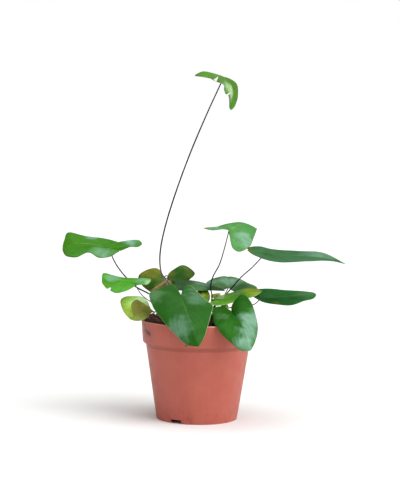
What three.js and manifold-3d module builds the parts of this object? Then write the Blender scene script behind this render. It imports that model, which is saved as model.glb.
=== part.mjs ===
// A heart fern in a plastic nursery pot, in millimetres with +Z up.
// The origin is on the surface that the pot stands on, under the middle of its foot. -Y is the front.
import * as THREE from "three";
import { mergeVertices } from "three/addons/utils/BufferGeometryUtils.js";
import Module from "manifold-3d";

const wasm = await Module();
wasm.setup();

const GAP = 0.3; // left between pieces that touch
const WELD = 1e-4; // vertices closer than this are one

// Pot
const POT_HEIGHT = 104.5;
const RIM_RADIUS = 60;
const BAND_HEIGHT = 23; // the upright rim band, down from the top
const BAND_TAPER = 1.6; // how much narrower the band is at its lower edge
const STEP_IN = 3.4; // from the band in to the body
const STEP_HEIGHT = 2.6;
const FOOT_RADIUS = 42.8;
const WALL = 1.5;
const LIP = 0.7; // bevel of the rim's top edges
const FOOT_HEIGHT = 4.2; // the base panel is raised this far above the foot
const BASE = 1.6;
const NOTCH = { width: 12, height: 4, count: 3, firstTurn: -30 }; // in the foot, from the front, in degrees
const DRAIN = { radius: 4.5, ring: 29, count: 6, sides: 16 };
const POT_SIDES = 64;

// Soil
const SOIL_EDGE = 102; // height of the soil where it meets the pot
const SOIL_MOUND = 3.8; // how much higher it is in the middle
const SOIL_SIDES = 40;
const SOIL_RINGS = 7;
const LUMPS = [
  { height: 0.8, alongX: 0.31, alongY: 0.27 },
  { height: 0.6, alongX: 0.17, alongY: 0.23 },
]; // low waves in the mound, turned by so many radians a millimetre
const HEAP = { x: -38, y: 10, height: 4.5, reach: 14 }; // the soil stands higher at the left
const CHUNKS = [
  { x: -49, y: 12, size: 4 },
  { x: -41, y: 23, size: 4.4 },
  { x: -53, y: -1, size: 2.8 },
]; // the largest bits of bark
const CRUMBS = { count: 44, smallest: 1.8, largest: 4, squash: 0.7, lift: 0.15, nearest: 22, fromEdge: 5 };

// Crown, the short scaly rhizome that every frond grows from
const CROWN = { radius: 10.7, depth: 6, rise: 4.5, sides: 22, rings: 4 };
const STIPE_DEPTH = 10; // how far a stipe stands in its hole, under the mound's top
const UPRIGHT = 4; // a stipe leaves its hole upright by this much
const HOLE_SIDES = 8;

// Blades and stipes
const BLADE = 0.7; // thickness
const DOME = 2; // how far each lobe bulges
const ROWS = 12; // from sinus to tip
const COLUMNS = 8; // from margin to margin
const FIRST_ROW = 0.05; // of the margin's length, where the blade begins beside the stipe
const LAST_ROW = 0.985;
const CLOSER = 1.25; // how much closer the rows lie round the lobes than at the tip
const FAN = 1.7; // how long the rows stay near the sinus as they fan round the lobes
const STIPE_ARCS = 4; // each makes two sides
const STIPE_STEP = 8; // length of one step along a stipe
const COIL_STEP = 2;
const JOINT = 0.9; // how far short of the sinus a stipe ends, less where it meets the blade's edge head on
const SMALL = { rows: 6, columns: 4, dome: 0.5 }; // the grid of a young frond's blade

const FRESH = "#4a8a38";
const DEEP = "#2f6b34";
const PALE = "#8cb04a";
const OLIVE = "#5f6a24";

// Each frond has the place where its stipe stands, the bends of the stipe, and its blade's midrib
// from the sinus to the tip, with both margins between these two. Left and right are the blade's own,
// seen from above with the tip ahead. A tear is a wedge seen from the front, its point first.
const FRONDS = [
  {
    name: "tall",
    colour: FRESH,
    thick: 0.8,
    joint: 0.4,
    stands: [-3, -2],
    bends: [[-12, -3, 118], [-25, -5, 132], [-34, -6, 143], [-39.5, -4, 154], [-41.5, 0, 167],
      [-40.5, 2, 182], [-36, 4, 204], [-27, 5, 235], [-12, 4, 278], [5, 2, 320]],
    midrib: [[20, 0, 354], [26, 8, 358], [32, 12, 350], [31, 6, 326]],
    left: [[15, -3, 355], [4, -8, 360], [-7.5, -12, 360.5], [1, -4, 365.5], [15, 6, 362],
      [29, 16, 359.5], [37, 20, 354], [38, 18, 341], [36, 12, 333], [34, 9, 329]],
    right: [[23, -6, 351], [23, -8, 347], [25, -8, 342], [28, -4, 340], [29, -1, 334],
      [29.2, 3, 328.5]],
    tears: [[[16.9, 360.6], [12.4, 357.4], [14.8, 355.4]], [[30, 344], [23, 340.5], [24.5, 337.5]]],
  },
  {
    name: "arched",
    colour: FRESH,
    thick: 0.65,
    stands: [13, -6],
    bends: [[14, -6, 132], [12.5, -7, 139], [14.5, -6, 150], [21.5, -5, 164], [26.5, -4, 181]],
    midrib: [[31, -4, 200], [41, 14, 204], [51, 26, 204], [62, 36, 200]],
    left: [[26, -6, 202], [15, -10, 200], [4, -14, 202], [13, 2, 201], [26, 20, 204], [43, 34, 206]],
    right: [[32, -12, 192], [35, -20, 182], [41, -20, 178.5], [52, -12, 183], [57, 6, 191]],
  },
  {
    name: "long",
    colour: DEEP,
    thick: 0.68,
    joint: 0.5,
    stands: [10, 12],
    bends: [[20, 18, 119], [32, 19, 133], [46, 6, 151], [55, -2, 160]],
    midrib: [[65, -12, 172], [93, -18, 174], [123, -25, 174], [151.5, -32, 168.5]],
    left: [[59, -4, 177], [50.5, 4, 180.6], [63, 14, 182.3], [78, 16, 179], [105, 8, 178],
      [129, -8, 178]],
    right: [[56, -24, 176], [49.5, -32, 181.5], [64, -48, 174], [82, -54, 171], [109, -50, 172],
      [135, -40, 172]],
  },
  {
    name: "low_right",
    colour: DEEP,
    thick: 0.6,
    joint: 0.6,
    stands: [16, 0],
    bends: [[23, 3, 113], [33, 6, 117], [45, 6, 119], [59, 6, 121]],
    midrib: [[66, 8, 127], [85, 10, 128], [106, 12, 130], [126, 14, 131]],
    left: [[61, 18, 131], [61, 28, 134], [73, 36, 135], [95, 38, 133], [115, 30, 133],
      [124, 22, 132.5]],
    right: [[60, 0, 129], [57, -8, 131], [67, -16, 126], [83, -20, 124], [97, -16, 123],
      [111, -6, 126.5], [122, 4, 128.5]],
  },
  {
    name: "back",
    colour: DEEP,
    thick: 0.6,
    joint: 1.1,
    stands: [4, 8],
    bends: [[9, 14, 119], [26, 22, 127]],
    midrib: [[32, 28, 136], [32, 46, 141], [32, 66, 144], [31, 82, 142]],
    left: [[25, 24, 134], [15, 25, 135.5], [8, 38, 139], [13, 54, 142], [22, 70, 143]],
    right: [[40, 24, 132], [54, 25, 133], [63, 34, 136], [54, 50, 139], [44, 68, 142]],
  },
  {
    name: "middle",
    colour: DEEP,
    thick: 0.6,
    stands: [-2, 6],
    bends: [[-8, 7, 122], [-17, 7, 134]],
    midrib: [[-23, 6, 142], [-4, 6, 141], [13, 8, 138], [29, 12, 134]],
    left: [[-27, 10, 143], [-29, 16, 144], [-18, 21, 144], [-2, 23, 142], [12, 20, 139], [22, 18, 136]],
    right: [[-26, 0, 142], [-26, -8, 139.5], [-21.5, -11, 136.8], [-15, -13, 136.5], [0, -12, 136.3],
      [14, -3, 136]],
  },
  {
    name: "far_left",
    colour: FRESH,
    thick: 0.8,
    rows: 18,
    stands: [-14, 3],
    bends: [[-30, 4, 117], [-52, 8, 130], [-68, 20, 137], [-78, 24, 146], [-85, 25, 154],
      [-91, 26, 163]],
    midrib: [[-97, 28, 176], [-112, 36, 179], [-130, 42, 180], [-149, 48, 177]],
    left: [[-90, 22, 176], [-85.5, 18, 174.2], [-88, 12, 173], [-93, 8, 170], [-106, 4, 168],
      [-118, 12, 173], [-130, 10, 168], [-141, 18, 168], [-147, 32, 172]],
    right: [[-86, 27, 174.4], [-74, 26, 178.6], [-66, 27, 178.9], [-61.6, 29, 182.2], [-65.5, 31, 186],
      [-82, 44, 181.6], [-102, 56, 185], [-125, 64, 187], [-145, 66, 191], [-148, 56, 183]],
  },
  {
    name: "left",
    colour: FRESH,
    thick: 0.55,
    joint: 0.4,
    stands: [-15, -5],
    bends: [[-30, -4, 114], [-52, -2, 124], [-60, -1, 130]],
    midrib: [[-67, 0, 140], [-79, 2, 144], [-92, 2, 144], [-102.4, -2, 144]],
    left: [[-70, -10, 138], [-77, -16, 135], [-86, -18, 133], [-91.5, -16, 134.8], [-95.8, -14, 136.8],
      [-101.4, -8, 142]],
    right: [[-60, -4, 141], [-54, -5, 141.5], [-50.5, 2, 146.5], [-65, 14, 145.5], [-80, 18, 145],
      [-93, 14, 149], [-101.8, 8, 151.3]],
    tears: [[[-92.3, 138.6], [-98, 135.8], [-92.8, 134]]],
  },
  {
    name: "folded",
    colour: PALE,
    thick: 0.55,
    stands: [-14, -12],
    bends: [[-25, -17, 112], [-38, -21, 114]],
    midrib: [[-48, -24, 115], [-57, -30, 107], [-66, -30, 106], [-72, -26, 108]],
    left: [[-45, -30, 114], [-50, -35, 119], [-57, -41, 125.5], [-64, -43, 129], [-68.5, -43, 125],
      [-68, -38, 116], [-66, -34, 110]],
    right: [[-52, -16, 118], [-54, -10, 124], [-59, -5, 128], [-68, -2, 128.5], [-78, -4, 128],
      [-82, -8, 124.5], [-80, -14, 117], [-76, -20, 111]],
  },
  {
    name: "old",
    colour: OLIVE,
    thick: 0.6,
    stands: [-9, 12],
    bends: [[-13, 18, 114], [-22, 28, 130], [-30, 28, 140]],
    midrib: [[-34, 20, 143], [-32, 15, 136], [-31, 12, 130], [-30, 10, 125]],
    left: [[-32, 28, 151], [-25, 35, 155.9], [-20, 38, 158.5], [-14.5, 40, 158.2], [-4.6, 38, 150.3],
      [-9, 32, 145], [-18, 23, 139], [-26, 14, 131]],
    right: [[-38, 28, 147], [-45, 36, 155], [-55, 36, 154], [-65, 30, 147], [-61, 24, 138],
      [-51, 19, 131], [-40, 14, 127]],
  },
  {
    name: "front",
    colour: DEEP,
    thick: 0.6,
    joint: 0.5,
    stands: [-6, -13],
    bends: [[-9, -18, 119], [-14, -27, 128]],
    midrib: [[-18, -32, 132], [-11, -54, 117], [-5, -72, 102], [1, -83, 87]],
    left: [[-16, -26, 138], [-9, -18, 142], [-1, -25, 136], [9, -36, 128], [15, -42, 124],
      [13, -52, 116], [10, -62, 106], [6, -74, 95]],
    right: [[-21, -26, 136], [-27, -16, 143], [-39, -15, 139], [-50.5, -21, 134.5], [-47, -40, 122],
      [-36, -54, 109], [-22, -67, 96], [-11, -76, 88]],
  },
  {
    name: "front_right",
    colour: DEEP,
    thick: 0.6,
    stands: [8, -13],
    bends: [[18, -19, 111], [29, -26, 114]],
    midrib: [[35, -30, 116], [40, -48, 111], [46, -66, 101], [53, -82, 84]],
    left: [[35, -28, 123], [39, -27, 130], [46, -27, 135], [54, -30, 128], [59, -38, 115],
      [61, -52, 103], [58, -68, 91]],
    right: [[31, -27, 118], [24, -22, 121], [16, -24, 120], [16, -50, 108], [20, -62, 103],
      [24, -66, 98], [35, -74, 89], [45, -80, 83]],
  },
  {
    name: "slanted",
    colour: PALE,
    thick: 0.55,
    stands: [7, -7],
    bends: [[12, -11, 117]],
    midrib: [[24, -8, 126], [36, -6, 129], [51, -6, 135], [67, -4, 136]],
    left: [[19, 0, 126], [13, 6, 124], [22, 12, 128], [36, 14, 132], [49, 12, 137], [61, 6, 138]],
    right: [[17, -12, 125], [12, -16, 124], [19, -22, 122], [30, -24, 124], [39, -24, 127],
      [52, -20, 130], [62, -12, 133]],
  },
  {
    name: "young_dark",
    colour: OLIVE,
    thick: 0.5,
    joint: 0.4,
    stands: [2, 2],
    bends: [[4, 2, 120]],
    ...SMALL,
    midrib: [[6, -2, 134], [8, -10, 130], [9, -18, 124]],
    left: [[7, 1, 137], [9, 0, 136], [11.5, -5, 132], [11.5, -12, 127]],
    right: [[4, 2, 137], [0, 0, 136], [-2, -6, 132], [3, -14, 127]],
  },
  {
    name: "young_pale",
    colour: PALE,
    thick: 0.45,
    stands: [14, -12],
    bends: [[20, -12, 114]],
    ...SMALL,
    midrib: [[27, -12, 122], [28, -16, 120], [29, -20, 117]],
    left: [[29, -10, 123], [31, -12, 121], [31, -16, 119]],
    right: [[25, -10, 123], [24, -12, 121], [25, -18, 118]],
  },
  {
    name: "young_back",
    colour: PALE,
    thick: 0.45,
    stands: [15, 6],
    bends: [[17, 9, 119]],
    ...SMALL,
    midrib: [[18, 12, 127], [19, 16, 129], [20, 19, 130.5]],
    left: [[14.5, 12, 126.5], [13.5, 16, 128.5], [17, 19, 130]],
    right: [[20, 12, 126.5], [23.5, 15, 128.5], [23, 19, 130.5]],
  },
];

// A frond still coiled, and a dead one that hangs over among the others
const CROZIER = {
  stands: [-6, 2],
  bends: [[-14, 4, 120], [-26, 5, 134], [-31, 6, 142]],
  thick: 0.65,
  coil: { middle: [-34.5, 6, 148.3], outer: 2.3, inner: 0.75, turns: 1, bends: 9 },
};
const WITHERED = {
  stands: [-12, -1],
  bends: [[-19, 0, 122], [-29, 2, 140], [-33, 2, 144], [-37, 0, 142.2], [-44, -2, 137.3],
    [-51, -2, 133.7]],
  thick: 2.2,
};

// Three-dimensional helpers
const point = ([x, y, z]) => new THREE.Vector3(x, y, z);
const curveThrough = (points) => new THREE.CatmullRomCurve3(points.map(point), false, "centripetal");
const random = THREE.MathUtils.seededRandom;

function toSolid(geometry) {
  const bare = new THREE.BufferGeometry();
  bare.setAttribute("position", geometry.getAttribute("position"));
  bare.setIndex(geometry.index);
  const merged = mergeVertices(bare, WELD);
  return new wasm.Manifold(
    new wasm.Mesh({
      numProp: 3,
      vertProperties: merged.attributes.position.array,
      triVerts: new Uint32Array(merged.index.array),
    }),
  );
}

function toGeometry(solid) {
  const { vertProperties, triVerts } = solid.getMesh();
  const geometry = new THREE.BufferGeometry();
  geometry.setAttribute("position", new THREE.BufferAttribute(vertProperties, 3));
  geometry.setIndex(new THREE.BufferAttribute(triVerts, 1));
  return geometry;
}

function lathe(profile, sides) {
  const geometry = new THREE.LatheGeometry(
    profile.map(([r, z]) => new THREE.Vector2(r, z)),
    sides,
  );
  return geometry.rotateX(Math.PI / 2);
}

function piece(name, geometry, colour, roughness) {
  const flat = geometry.index ? geometry.toNonIndexed() : geometry;
  flat.computeVertexNormals();
  const material = new THREE.MeshStandardMaterial({ color: colour, roughness, metalness: 0 });
  const mesh = new THREE.Mesh(flat, material);
  mesh.name = name;
  return mesh;
}

// The pot
const bodyRadius = (z) => {
  const top = POT_HEIGHT - BAND_HEIGHT - STEP_HEIGHT;
  return THREE.MathUtils.lerp(FOOT_RADIUS, RIM_RADIUS - BAND_TAPER - STEP_IN, z / top);
};

function pot() {
  const bandFoot = POT_HEIGHT - BAND_HEIGHT;
  const bodyTop = bandFoot - STEP_HEIGHT;
  const floor = FOOT_HEIGHT + BASE;
  const profile = [
    [0, FOOT_HEIGHT],
    [bodyRadius(FOOT_HEIGHT) - WALL, FOOT_HEIGHT],
    [FOOT_RADIUS - WALL, 0],
    [FOOT_RADIUS, 0],
    [bodyRadius(bodyTop), bodyTop],
    [RIM_RADIUS - BAND_TAPER, bandFoot],
    [RIM_RADIUS, POT_HEIGHT - LIP],
    [RIM_RADIUS - LIP, POT_HEIGHT],
    [RIM_RADIUS - WALL, POT_HEIGHT],
    [RIM_RADIUS - WALL - LIP, POT_HEIGHT - LIP],
    [RIM_RADIUS - BAND_TAPER - WALL, bandFoot + WALL],
    [bodyRadius(bodyTop) - WALL, bodyTop],
    [bodyRadius(floor) - WALL, floor],
    [0, floor],
  ];
  let solid = toSolid(lathe(profile, POT_SIDES));
  for (let i = 0; i < NOTCH.count; i++) {
    const turn = THREE.MathUtils.degToRad(NOTCH.firstTurn + (i * 360) / NOTCH.count);
    const reach = 3 * WALL;
    const cutter = new THREE.BoxGeometry(NOTCH.width, 2 * reach, 2 * NOTCH.height)
      .translate(0, -(FOOT_RADIUS - WALL / 2), 0)
      .rotateZ(turn);
    solid = solid.subtract(toSolid(cutter));
  }
  for (let i = 0; i < DRAIN.count; i++) {
    const turn = (2 * Math.PI * i) / DRAIN.count;
    const cutter = new THREE.CylinderGeometry(DRAIN.radius, DRAIN.radius, 4 * BASE, DRAIN.sides)
      .rotateX(Math.PI / 2)
      .translate(DRAIN.ring * Math.cos(turn), DRAIN.ring * Math.sin(turn), FOOT_HEIGHT + BASE / 2);
    solid = solid.subtract(toSolid(cutter));
  }
  return piece("pot", toGeometry(solid), "#b4604f", 0.65);
}

// Height of the soil's surface
function mound(x, y) {
  const out = Math.min(1, Math.hypot(x, y) / (RIM_RADIUS - WALL));
  let height = SOIL_EDGE + SOIL_MOUND * (1 - out ** 2);
  for (const lump of LUMPS) {
    height += lump.height * (1 - out ** 4) * Math.sin(lump.alongX * x + 1) * Math.cos(lump.alongY * y);
  }
  const away = Math.hypot(x - HEAP.x, y - HEAP.y) / HEAP.reach;
  return height + HEAP.height * (1 - out ** 8) * Math.exp(-(away ** 2) / 2);
}

// A lump of bark that lies in the soil, turned at random
function crumbAt(x, y, size) {
  const geometry = new THREE.IcosahedronGeometry(size, 0)
    .rotateX(2 * Math.PI * random())
    .rotateY(2 * Math.PI * random())
    .scale(1, 1, CRUMBS.squash)
    .translate(x, y, mound(x, y) + CRUMBS.lift * size);
  return toSolid(geometry);
}

// Plain holes that the stipes stand in
function withHoles(solid) {
  let cut = solid;
  for (const { stands: [x, y], thick } of [...FRONDS, CROZIER, WITHERED]) {
    const depth = STIPE_DEPTH + GAP;
    const top = SOIL_EDGE + SOIL_MOUND + 2 * CROWN.rise;
    const bottom = SOIL_EDGE + SOIL_MOUND - depth;
    const radius = (thick + GAP) / Math.cos(Math.PI / HOLE_SIDES);
    const hole = new THREE.CylinderGeometry(radius, radius, top - bottom, HOLE_SIDES)
      .rotateX(Math.PI / 2)
      .translate(x, y, (top + bottom) / 2);
    cut = cut.subtract(toSolid(hole));
  }
  return cut;
}

function soil() {
  const floor = FOOT_HEIGHT + BASE + GAP;
  const bandFoot = POT_HEIGHT - BAND_HEIGHT;
  const bodyTop = bandFoot - STEP_HEIGHT;
  const inside = WALL + GAP;
  const edge = RIM_RADIUS - BAND_TAPER - inside;
  const profile = [
    [0, floor],
    [bodyRadius(floor) - inside, floor],
    [bodyRadius(bodyTop) - inside, bodyTop],
    [edge, bandFoot + WALL + GAP],
    [edge, SOIL_EDGE],
  ];
  const mark = SOIL_EDGE + 1; // the top is put above the edge, and set to the mound below
  for (let i = SOIL_RINGS - 1; i >= 0; i--) profile.push([(edge * i) / SOIL_RINGS, mark]);
  const geometry = lathe(profile, SOIL_SIDES);
  const places = geometry.getAttribute("position");
  for (let i = 0; i < places.count; i++) {
    if (places.getZ(i) > SOIL_EDGE) places.setZ(i, mound(places.getX(i), places.getY(i)));
  }
  let solid = toSolid(geometry);
  for (let i = 0; i < CRUMBS.count; i++) {
    const size = THREE.MathUtils.lerp(CRUMBS.smallest, CRUMBS.largest, random() ** 2);
    const out = THREE.MathUtils.lerp(CRUMBS.nearest, edge - CRUMBS.fromEdge, Math.sqrt(random()));
    const turn = 2 * Math.PI * random();
    solid = solid.add(crumbAt(out * Math.cos(turn), out * Math.sin(turn), size));
  }
  for (const { x, y, size } of CHUNKS) solid = solid.add(crumbAt(x, y, size));
  const pitDepth = CROWN.depth + GAP;
  const pit = new THREE.CylinderGeometry(CROWN.radius + GAP, CROWN.radius + GAP, 2 * pitDepth, CROWN.sides)
    .rotateX(Math.PI / 2)
    .translate(0, 0, SOIL_EDGE + SOIL_MOUND);
  return piece("soil", toGeometry(withHoles(solid.subtract(toSolid(pit)))), "#33201c", 0.95);
}

function crown() {
  const top = SOIL_EDGE + SOIL_MOUND;
  const profile = [
    [0, top - CROWN.depth],
    [CROWN.radius, top - CROWN.depth],
  ];
  for (let i = 0; i < CROWN.rings; i++) {
    const turn = (Math.PI / 2) * (i / CROWN.rings);
    profile.push([CROWN.radius * Math.cos(turn), top + CROWN.rise * Math.sin(turn)]);
  }
  profile.push([0, top + CROWN.rise]);
  const solid = toSolid(lathe(profile, CROWN.sides));
  return piece("crown", toGeometry(withHoles(solid)), "#4a3020", 0.9);
}

// A blade: a grid of rows that fan from the midrib to both margins, given its thickness
function wing(sinus, tip, margin, side) {
  const edge = curveThrough([sinus, ...margin, tip]);
  const ahead = point(tip).sub(point(sinus));
  const out = edge.getPointAt(0.5).sub(point(sinus));
  const up = side < 0 ? ahead.clone().cross(out) : out.clone().cross(ahead);
  return { edge, up: up.normalize() };
}

function bladeGeometry({ midrib, left, right, dome = DOME, rows = ROWS, columns = COLUMNS }) {
  const rib = curveThrough(midrib);
  const [sinus, tip] = [midrib[0], midrib.at(-1)];
  const wings = [wing(sinus, tip, left, -1), wing(sinus, tip, right, 1)];
  const sheet = new THREE.PlaneGeometry(1, 1, columns, rows);
  const places = sheet.getAttribute("position");
  for (let row = 0; row <= rows; row++) {
    const t = THREE.MathUtils.lerp(FIRST_ROW, LAST_ROW, (row / rows) ** CLOSER);
    const onRib = rib.getPointAt(Math.min(1, ((t - FIRST_ROW) / (1 - FIRST_ROW)) ** FAN));
    for (let column = 0; column <= columns; column++) {
      const across = (2 * column) / columns - 1;
      const { edge, up } = wings[across < 0 ? 0 : 1];
      const out = Math.abs(across);
      const place = onRib.clone().lerp(edge.getPointAt(t), out);
      place.addScaledVector(up, dome * Math.sin(Math.PI * out) * Math.sin(Math.PI * t));
      places.setXYZ(row * (columns + 1) + column, place.x, place.y, place.z);
    }
  }
  sheet.computeVertexNormals();
  return thickened(sheet, columns, rows);
}

function thickened(sheet, columns, rows) {
  const places = sheet.getAttribute("position");
  const normals = sheet.getAttribute("normal");
  const count = places.count;
  const both = new Float32Array(6 * count);
  for (let i = 0; i < count; i++) {
    const top = new THREE.Vector3().fromBufferAttribute(places, i);
    const normal = new THREE.Vector3().fromBufferAttribute(normals, i);
    top.toArray(both, 3 * i);
    top.addScaledVector(normal, -BLADE).toArray(both, 3 * (count + i));
  }
  const faces = [...sheet.index.array];
  for (let i = 0; i < sheet.index.count; i += 3) {
    const [a, b, c] = sheet.index.array.slice(i, i + 3);
    faces.push(count + c, count + b, count + a);
  }
  const wide = columns + 1;
  const loop = [];
  for (let i = 0; i < columns; i++) loop.push(i);
  for (let i = 0; i < rows; i++) loop.push(columns + i * wide);
  for (let i = columns; i > 0; i--) loop.push(rows * wide + i);
  for (let i = rows; i > 0; i--) loop.push(i * wide);
  loop.forEach((a, i) => {
    const b = loop[(i + 1) % loop.length];
    faces.push(a, b, count + a, b, count + b, count + a);
  });
  const geometry = new THREE.BufferGeometry();
  geometry.setAttribute("position", new THREE.BufferAttribute(both, 3));
  geometry.setIndex(faces);
  return geometry;
}

// Each tear is cut from front to back
function torn(geometry, tears = []) {
  let solid = toSolid(geometry);
  const through = 4 * RIM_RADIUS;
  for (const corners of tears) {
    const wedge = new THREE.Shape(corners.map(([x, z]) => new THREE.Vector2(x, z)));
    const cutter = new THREE.ExtrudeGeometry(wedge, { depth: through, bevelEnabled: false })
      .translate(0, 0, -through / 2)
      .rotateX(Math.PI / 2);
    solid = solid.subtract(toSolid(cutter));
  }
  return toGeometry(solid);
}

// Stipes, thin tubes that stand upright in their holes before they bend
function tube(points, thick, step = STIPE_STEP) {
  const path = curveThrough(points);
  const section = new THREE.Shape().absarc(0, 0, thick, 0, 2 * Math.PI);
  return new THREE.ExtrudeGeometry(section, {
    curveSegments: STIPE_ARCS,
    steps: Math.ceil(path.getLength() / step),
    extrudePath: path,
  });
}

function standing([x, y]) {
  const top = SOIL_EDGE + SOIL_MOUND;
  const clear = Math.hypot(x, y) < CROWN.radius ? CROWN.rise : 0;
  const heights = [top - STIPE_DEPTH, top - STIPE_DEPTH / 2, top + clear, top + clear + UPRIGHT];
  return heights.map((z) => [x, y, z]);
}

function stipeGeometry({ stands, bends, midrib, thick, joint = JOINT }) {
  const sinus = point(midrib[0]);
  const ahead = sinus.clone().sub(point(bends.at(-1))).normalize();
  const end = sinus.clone().addScaledVector(ahead, -joint);
  return tube([...standing(stands), ...bends, end.toArray()], thick);
}

function crozier() {
  const { stands, bends, thick, coil } = CROZIER;
  const points = [...standing(stands), ...bends];
  const [x, y, z] = coil.middle;
  for (let i = 0; i <= coil.bends; i++) {
    const share = i / coil.bends;
    const turn = 2 * Math.PI * coil.turns * share;
    const reach = THREE.MathUtils.lerp(coil.outer, coil.inner, share);
    points.push([x + reach * Math.cos(turn), y, z + reach * Math.sin(turn)]);
  }
  return piece("crozier", tube(points, thick, COIL_STEP), "#6a4a2c", 0.8);
}

function witheredFrond() {
  const points = [...standing(WITHERED.stands), ...WITHERED.bends];
  return piece("withered_frond", tube(points, WITHERED.thick), "#96703c", 0.85);
}

const plant = new THREE.Group();
plant.add(pot(), soil(), crown(), crozier(), witheredFrond());
for (const frond of FRONDS) {
  plant.add(
    piece(`blade_${frond.name}`, torn(bladeGeometry(frond), frond.tears), frond.colour, 0.4),
    piece(`stipe_${frond.name}`, stipeGeometry(frond), "#33282c", 0.3),
  );
}

export default plant;
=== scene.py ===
# A young heart fern in a terracotta-coloured plastic nursery pot.
# Lengths in the dictionaries are in millimetres, +Z is up and -Y is the front.
import bisect
import math
import random

import bmesh
import bpy
from mathutils import Euler, Matrix, Vector, noise


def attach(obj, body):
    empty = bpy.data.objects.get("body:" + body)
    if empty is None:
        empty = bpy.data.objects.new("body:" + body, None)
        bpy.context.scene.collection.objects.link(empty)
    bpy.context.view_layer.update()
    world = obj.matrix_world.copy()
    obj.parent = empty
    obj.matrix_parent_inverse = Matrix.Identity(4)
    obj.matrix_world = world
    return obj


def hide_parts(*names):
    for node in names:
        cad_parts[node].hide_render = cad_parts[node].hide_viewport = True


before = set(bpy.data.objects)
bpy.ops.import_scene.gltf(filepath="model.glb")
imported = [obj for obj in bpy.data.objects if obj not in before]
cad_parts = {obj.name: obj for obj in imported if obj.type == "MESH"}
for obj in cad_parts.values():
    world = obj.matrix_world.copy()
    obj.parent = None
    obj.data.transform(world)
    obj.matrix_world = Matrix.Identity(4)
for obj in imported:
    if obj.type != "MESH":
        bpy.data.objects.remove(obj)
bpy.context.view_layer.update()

scene = bpy.context.scene
mm = 0.001
print("frame loaded with", len(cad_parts), "nodes")


# Small helpers

def blend(a, b, share):
    return a + (b - a) * share


def smooth(value, low, high):
    share = max(0.0, min(1.0, (value - low) / (high - low)))
    return share * share * (3 - 2 * share)


def paint(text):
    # a colour as six hex digits, made linear
    parts = [int(text[i:i + 2], 16) / 255 for i in (0, 2, 4)]
    return Vector([p / 12.92 if p <= 0.04045 else ((p + 0.055) / 1.055) ** 2.4 for p in parts])


def mottle(place, size, seed=0.0):
    # slow noise from 0 to 1 with spots of about that size
    return 0.5 + 0.5 * noise.noise(place / size + Vector((seed, 0, 0)))


class Path:
    # a smooth line through given points, read by its length
    def __init__(self, points, samples=200):
        knots = [Vector(p) for p in points]
        self.knots = [2 * knots[0] - knots[1], *knots, 2 * knots[-1] - knots[-2]]
        self.samples = samples
        places = [self.bend(i / samples) for i in range(samples + 1)]
        self.reached = [0.0]
        for a, b in zip(places, places[1:]):
            self.reached.append(self.reached[-1] + (b - a).length)
        self.length = self.reached[-1]

    def bend(self, share):
        spans = len(self.knots) - 3
        i = min(int(share * spans), spans - 1)
        w = share * spans - i
        a, b, c, d = self.knots[i:i + 4]
        before, here, after = [(q - p).length ** 0.5 for p, q in ((a, b), (b, c), (c, d))]
        leave = ((b - a) / before - (c - a) / (before + here) + (c - b) / here) * here
        arrive = ((c - b) / here - (d - b) / (here + after) + (d - c) / after) * here
        turn = w * w * (3 - 2 * w)
        return b + (c - b) * turn + leave * w * (1 - w) ** 2 - arrive * w * w * (1 - w)

    def at(self, share):
        wanted = min(1.0, max(0.0, share)) * self.length
        i = min(bisect.bisect_right(self.reached, wanted), self.samples) - 1
        part = (wanted - self.reached[i]) / (self.reached[i + 1] - self.reached[i])
        return self.bend((i + part) / self.samples)


def finishPiece(bm, name, node, slot, materials):
    # millimetres become metres only here
    bmesh.ops.scale(bm, vec=(mm, mm, mm), verts=bm.verts)
    mesh = bpy.data.meshes.new(name)
    bm.to_mesh(mesh)
    bm.free()
    piece = bpy.data.objects.new(name, mesh)
    scene.collection.objects.link(piece)
    for material in materials:
        mesh.materials.append(material)
    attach(piece, "root")
    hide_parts(node)
    return piece


def newTint(bm):
    return bm.verts.layers.float_color.new("tint")


def setTint(verts, layer, colour):
    for v in verts:
        v[layer] = (*colour, 1)


# Materials are put together from a few kinds of node

def startMaterial(name, fixed):
    material = bpy.data.materials.new(name)
    material.use_nodes = True
    shader = material.node_tree.nodes["Principled BSDF"]
    for socket, value in fixed.items():
        shader.inputs[socket].default_value = value
    return material


def addNode(material, kind, inputs, **settings):
    node = material.node_tree.nodes.new(kind)
    for key, value in settings.items():
        setattr(node, key, value)
    for key, value in inputs.items():
        if isinstance(value, bpy.types.NodeSocket):
            material.node_tree.links.new(value, node.inputs[key])
        elif value is not None:
            node.inputs[key].default_value = value
    return node


def objectPlace(material):
    return addNode(material, "ShaderNodeTexCoord", {}).outputs["Object"]


def attribute(material, name):
    return addNode(material, "ShaderNodeAttribute", {}, attribute_name=name).outputs["Color"]


def grain(material, size, detail, place, upright=None):
    # noise with spots of about that many millimetres, drawn out upwards where upright is small
    if upright:
        fields = {"Vector": place, "Scale": (1, 1, upright)}
        place = addNode(material, "ShaderNodeMapping", fields).outputs[0]
    fields = {"Vector": place, "Scale": 1 / (size * mm), "Detail": detail}
    return addNode(material, "ShaderNodeTexNoise", fields).outputs[0]


def spread(material, value, low, high, toLow, toHigh):
    fields = {"Value": value, "From Min": low, "From Max": high, "To Min": toLow, "To Max": toHigh}
    return addNode(material, "ShaderNodeMapRange", fields).outputs[0]


def grained(material, size, detail, place, limits, upright=None):
    # that noise between two limits
    return spread(material, grain(material, size, detail, place, upright), 0.3, 0.7, *limits)


def calc(material, operation, a, b):
    return addNode(material, "ShaderNodeMath", {0: a, 1: b}, operation=operation).outputs[0]


def mixColour(material, share, a, b, how="MIX"):
    a, b = [(*c, 1) if isinstance(c, Vector) else c for c in (a, b)]
    fields = {0: share, 6: a, 7: b}
    return addNode(material, "ShaderNodeMix", fields, data_type="RGBA", blend_type=how).outputs[2]


def multiplied(material, colour, by):
    return mixColour(material, 1.0, colour, by, "MULTIPLY")


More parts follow.
